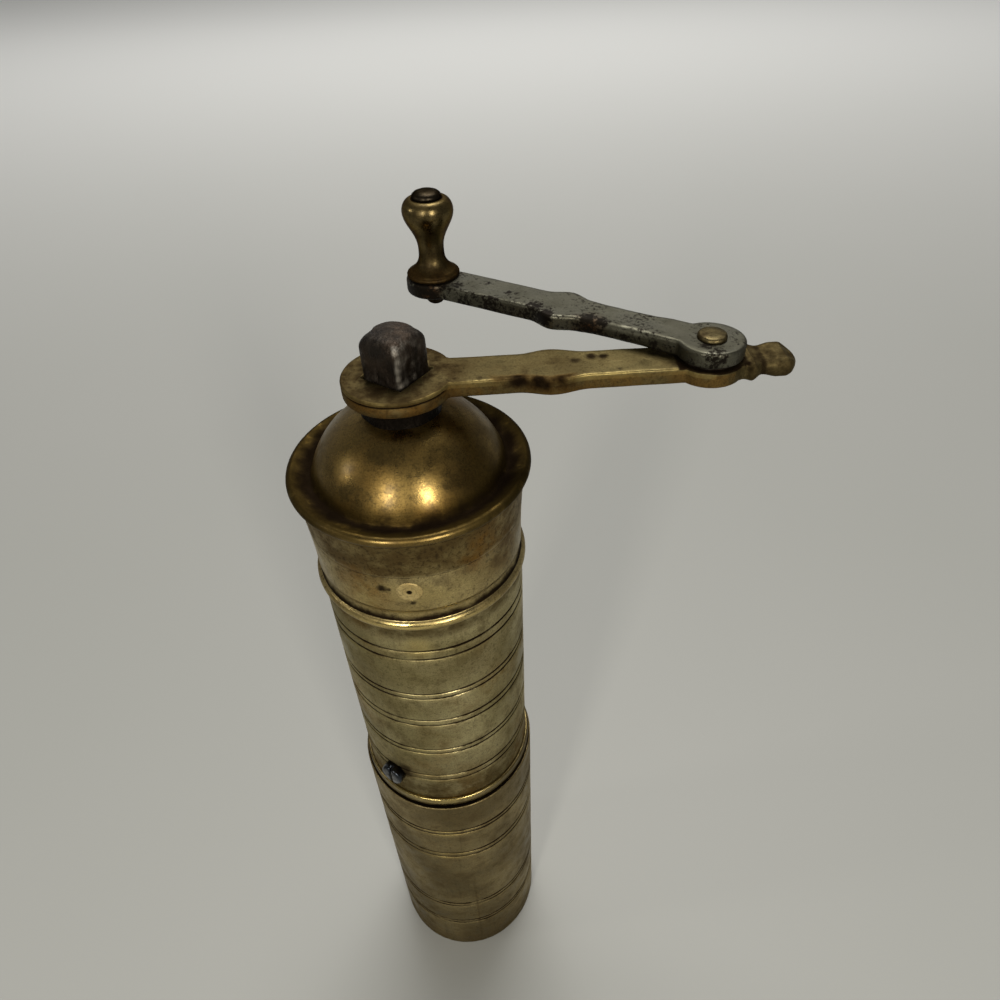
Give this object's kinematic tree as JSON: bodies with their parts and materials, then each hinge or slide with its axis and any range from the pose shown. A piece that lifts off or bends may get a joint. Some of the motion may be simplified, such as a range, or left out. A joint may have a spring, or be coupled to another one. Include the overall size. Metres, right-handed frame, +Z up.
{
  "type": "turkish coffee grinder",
  "caption": "Cylindrical brass hand coffee mill: grounds cup, engraved barrel with conical burrs, domed lid and a folding crank with a turning knob.",
  "frame": {"origin": "centre of the cup's base, on the surface that the mill stands on", "axes": "+Z up the mill's axis, +X along the lower crank arm at rest"},
  "size_m": [0.11, 0.0716, 0.2737],
  "materials": {
    "cup_brass": "aged satin brass, brown patina",
    "barrel_brass": "aged satin brass",
    "lid_brass": "aged satin brass with dark grime in the valley",
    "arm_brass": "worn brass with dark stains",
    "knob_brass": "dark patinated brass",
    "arm_steel": "worn grey steel with pits and rust",
    "screw_steel": "dark worn steel",
    "forged_iron": "dark forged iron",
    "burr_iron": "cast iron with ground teeth"
  },
  "bodies": {
    "receiver": {"cup_wall": "cup_brass", "cup_base": "cup_brass"},
    "barrel": {"barrel_tube": "barrel_brass", "foot_ring": "barrel_brass", "hopper_collar": "barrel_brass", "top_bridge": "forged_iron", "bridge_rivets": "barrel_brass", "stator_burr": "burr_iron", "burr_screws": "screw_steel", "bottom_bridge": "forged_iron", "bridge_screws": "screw_steel"},
    "lid": {"dome_lid": "lid_brass", "lid_skirt": "lid_brass", "lid_neck": "forged_iron"},
    "thrust": {"thrust_pad": "screw_steel"},
    "adjuster": {"adjusting_screw": "screw_steel"},
    "shaft": {"shaft": "forged_iron", "rotor_burr": "burr_iron", "rotor_pin": "screw_steel"},
    "crank": {"lower_arm": "arm_brass", "pivot_rivet": "arm_brass", "pivot_washer": "screw_steel"},
    "arm": {"upper_arm": "arm_steel", "knob_pin": "forged_iron"},
    "knob": {"knob": "knob_brass"}
  },
  "joints": [
    {"name": "barrel_lift", "type": "slide", "parent": "receiver", "child": "barrel", "axis": [0, 0, 1], "range_m": [0, 0.06]},
    {"name": "lid_lift", "type": "slide", "parent": "barrel", "child": "lid", "axis": [0, 0, 1], "range_m": [0, 0.05]},
    {"name": "grind_lift", "type": "slide", "parent": "barrel", "child": "thrust", "axis": [0, 0, 1], "range_m": [0, 0.0008]},
    {"name": "adjuster_turn", "type": "hinge", "parent": "thrust", "child": "adjuster", "pos_m": [0, 0, 0.1], "axis": [0, 0, 1], "range_deg": [0, 360]},
    {"name": "crank_turn", "type": "hinge", "parent": "thrust", "child": "shaft", "pos_m": [0, 0, 0.2], "axis": [0, 0, 1], "continuous": true},
    {"name": "crank_lift", "type": "slide", "parent": "shaft", "child": "crank", "axis": [0, 0, 1], "range_m": [0, 0.05]},
    {"name": "arm_fold", "type": "hinge", "parent": "crank", "child": "arm", "pos_m": [0.0645, 0, 0.252], "axis": [0, 0, 1], "range_deg": [-310, 18]},
    {"name": "knob_spin", "type": "hinge", "parent": "arm", "child": "knob", "pos_m": [0.00741, 0.0375, 0.262], "axis": [0, 0, 1], "continuous": true}
  ],
  "couplings": [
    {"joint": "adjuster_turn", "follows": "grind_lift", "rad_per_m": 7850},
    {"joint": "crank_lift", "follows": "lid_lift", "ratio": 1}
  ]
}
